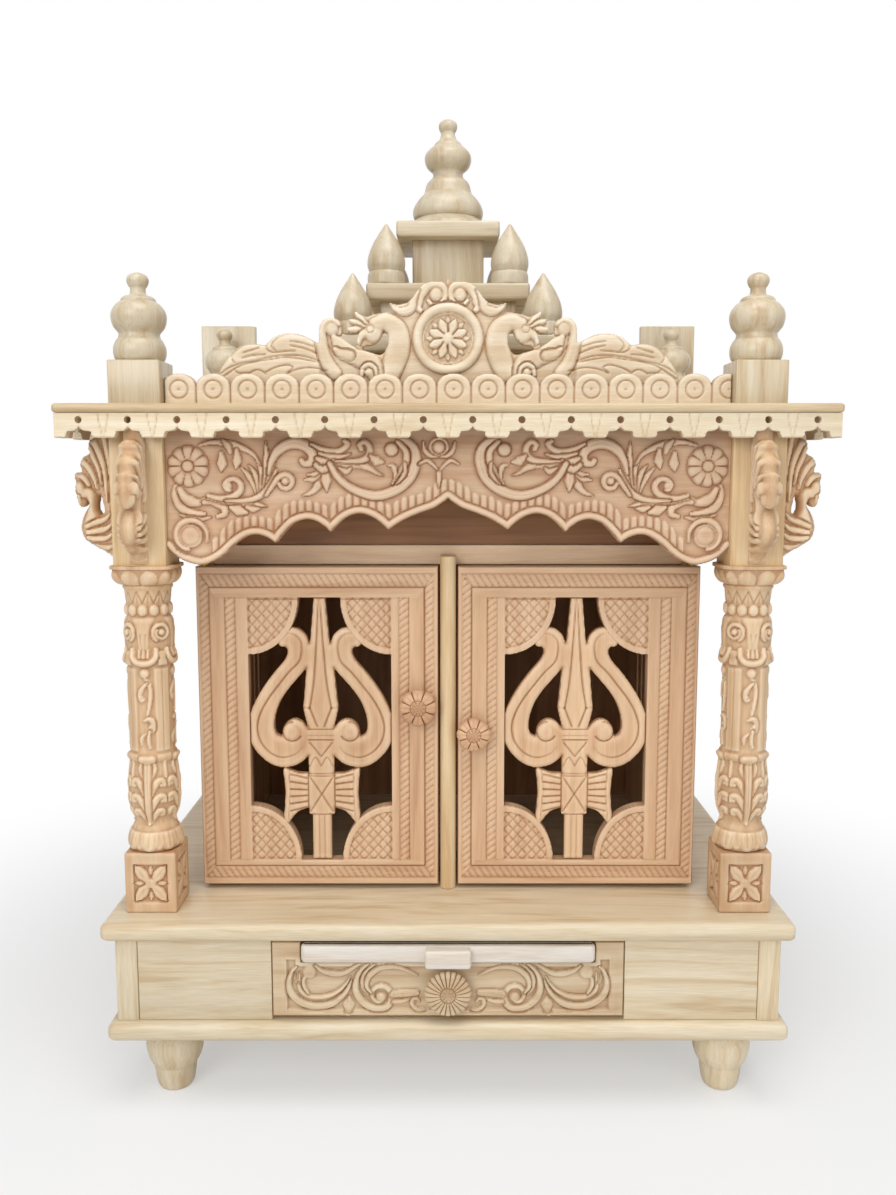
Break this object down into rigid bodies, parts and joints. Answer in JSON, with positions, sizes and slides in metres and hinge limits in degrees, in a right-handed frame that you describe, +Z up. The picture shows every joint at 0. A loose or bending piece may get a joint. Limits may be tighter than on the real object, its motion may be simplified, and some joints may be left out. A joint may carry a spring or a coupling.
{
  "type": "household temple cabinet",
  "caption": "Carved wooden household temple with pierced double doors, turned columns, a scalloped arch, a drawer, a pull-out tray and a tiered tower.",
  "frame": {"origin": "floor level under the middle of the bounding box", "axes": "+Z up, the doors look along -Y, +X to the right of a person facing the doors"},
  "size_m": [0.76, 0.528, 1.0637],
  "materials": {
    "pale_wood": "satin",
    "peach_wood": "satin",
    "carved_wood": "satin, carved",
    "turned_wood": "satin, turned",
    "inside_wood": "plain",
    "tray_wood": "satin",
    "pivot_brass": "brushed"
  },
  "bodies": {
    "cabinet": {"base_box": "pale_wood", "cabinet_back": "inside_wood", "cabinet_rail": "peach_wood", "cabinet_side_left": "peach_wood", "cabinet_side_right": "peach_wood", "cabinet_upper_board": "peach_wood", "centre_mullion": "peach_wood", "column_left": "turned_wood", "column_right": "turned_wood", "crest": "carved_wood", "deck_board": "pale_wood", "drawer_runner_left": "inside_wood", "drawer_runner_right": "inside_wood", "finial_front_left": "turned_wood", "finial_front_right": "turned_wood", "finial_rear_left": "turned_wood", "finial_rear_right": "turned_wood", "foot_front_left": "turned_wood", "foot_front_right": "turned_wood", "foot_rear_left": "turned_wood", "foot_rear_right": "turned_wood", "fringe_front": "carved_wood", "fringe_left": "carved_wood", "fringe_right": "carved_wood", "parapet": "carved_wood", "peacock_front_left": "carved_wood", "peacock_front_right": "carved_wood", "peacock_side_left": "carved_wood", "peacock_side_right": "carved_wood", "pivot_upper_left": "pivot_brass", "pivot_upper_right": "pivot_brass", "plinth_board": "pale_wood", "rear_post_left": "peach_wood", "rear_post_right": "peach_wood", "roof_board": "pale_wood", "tower_lower": "turned_wood", "tower_middle": "turned_wood", "tower_top": "turned_wood", "tray_rail_left": "inside_wood", "tray_rail_right": "inside_wood", "valance": "carved_wood"},
    "door_left": {"door_frame_left": "peach_wood", "door_fret_left": "carved_wood", "door_knob_left": "carved_wood"},
    "door_right": {"door_frame_right": "peach_wood", "door_fret_right": "carved_wood", "door_knob_right": "carved_wood"},
    "drawer": {"drawer_box": "inside_wood", "drawer_front": "pale_wood", "drawer_knob": "carved_wood"},
    "tray": {"tray_board": "inside_wood", "tray_lip": "tray_wood"}
  },
  "joints": [
    {"name": "door_left_hinge", "type": "hinge", "parent": "cabinet", "child": "door_left", "pos_m": [-0.2599, -0.1495, 0.205], "axis": [0, 0, -1], "range_deg": [0, 90]},
    {"name": "door_right_hinge", "type": "hinge", "parent": "cabinet", "child": "door_right", "pos_m": [0.2599, -0.1495, 0.205], "axis": [0, 0, 1], "range_deg": [0, 90]},
    {"name": "drawer_slide", "type": "slide", "parent": "cabinet", "child": "drawer", "axis": [0, -1, 0], "range_m": [0, 0.26]},
    {"name": "tray_slide", "type": "slide", "parent": "cabinet", "child": "tray", "axis": [0, -1, 0], "range_m": [0, 0.2]}
  ]
}
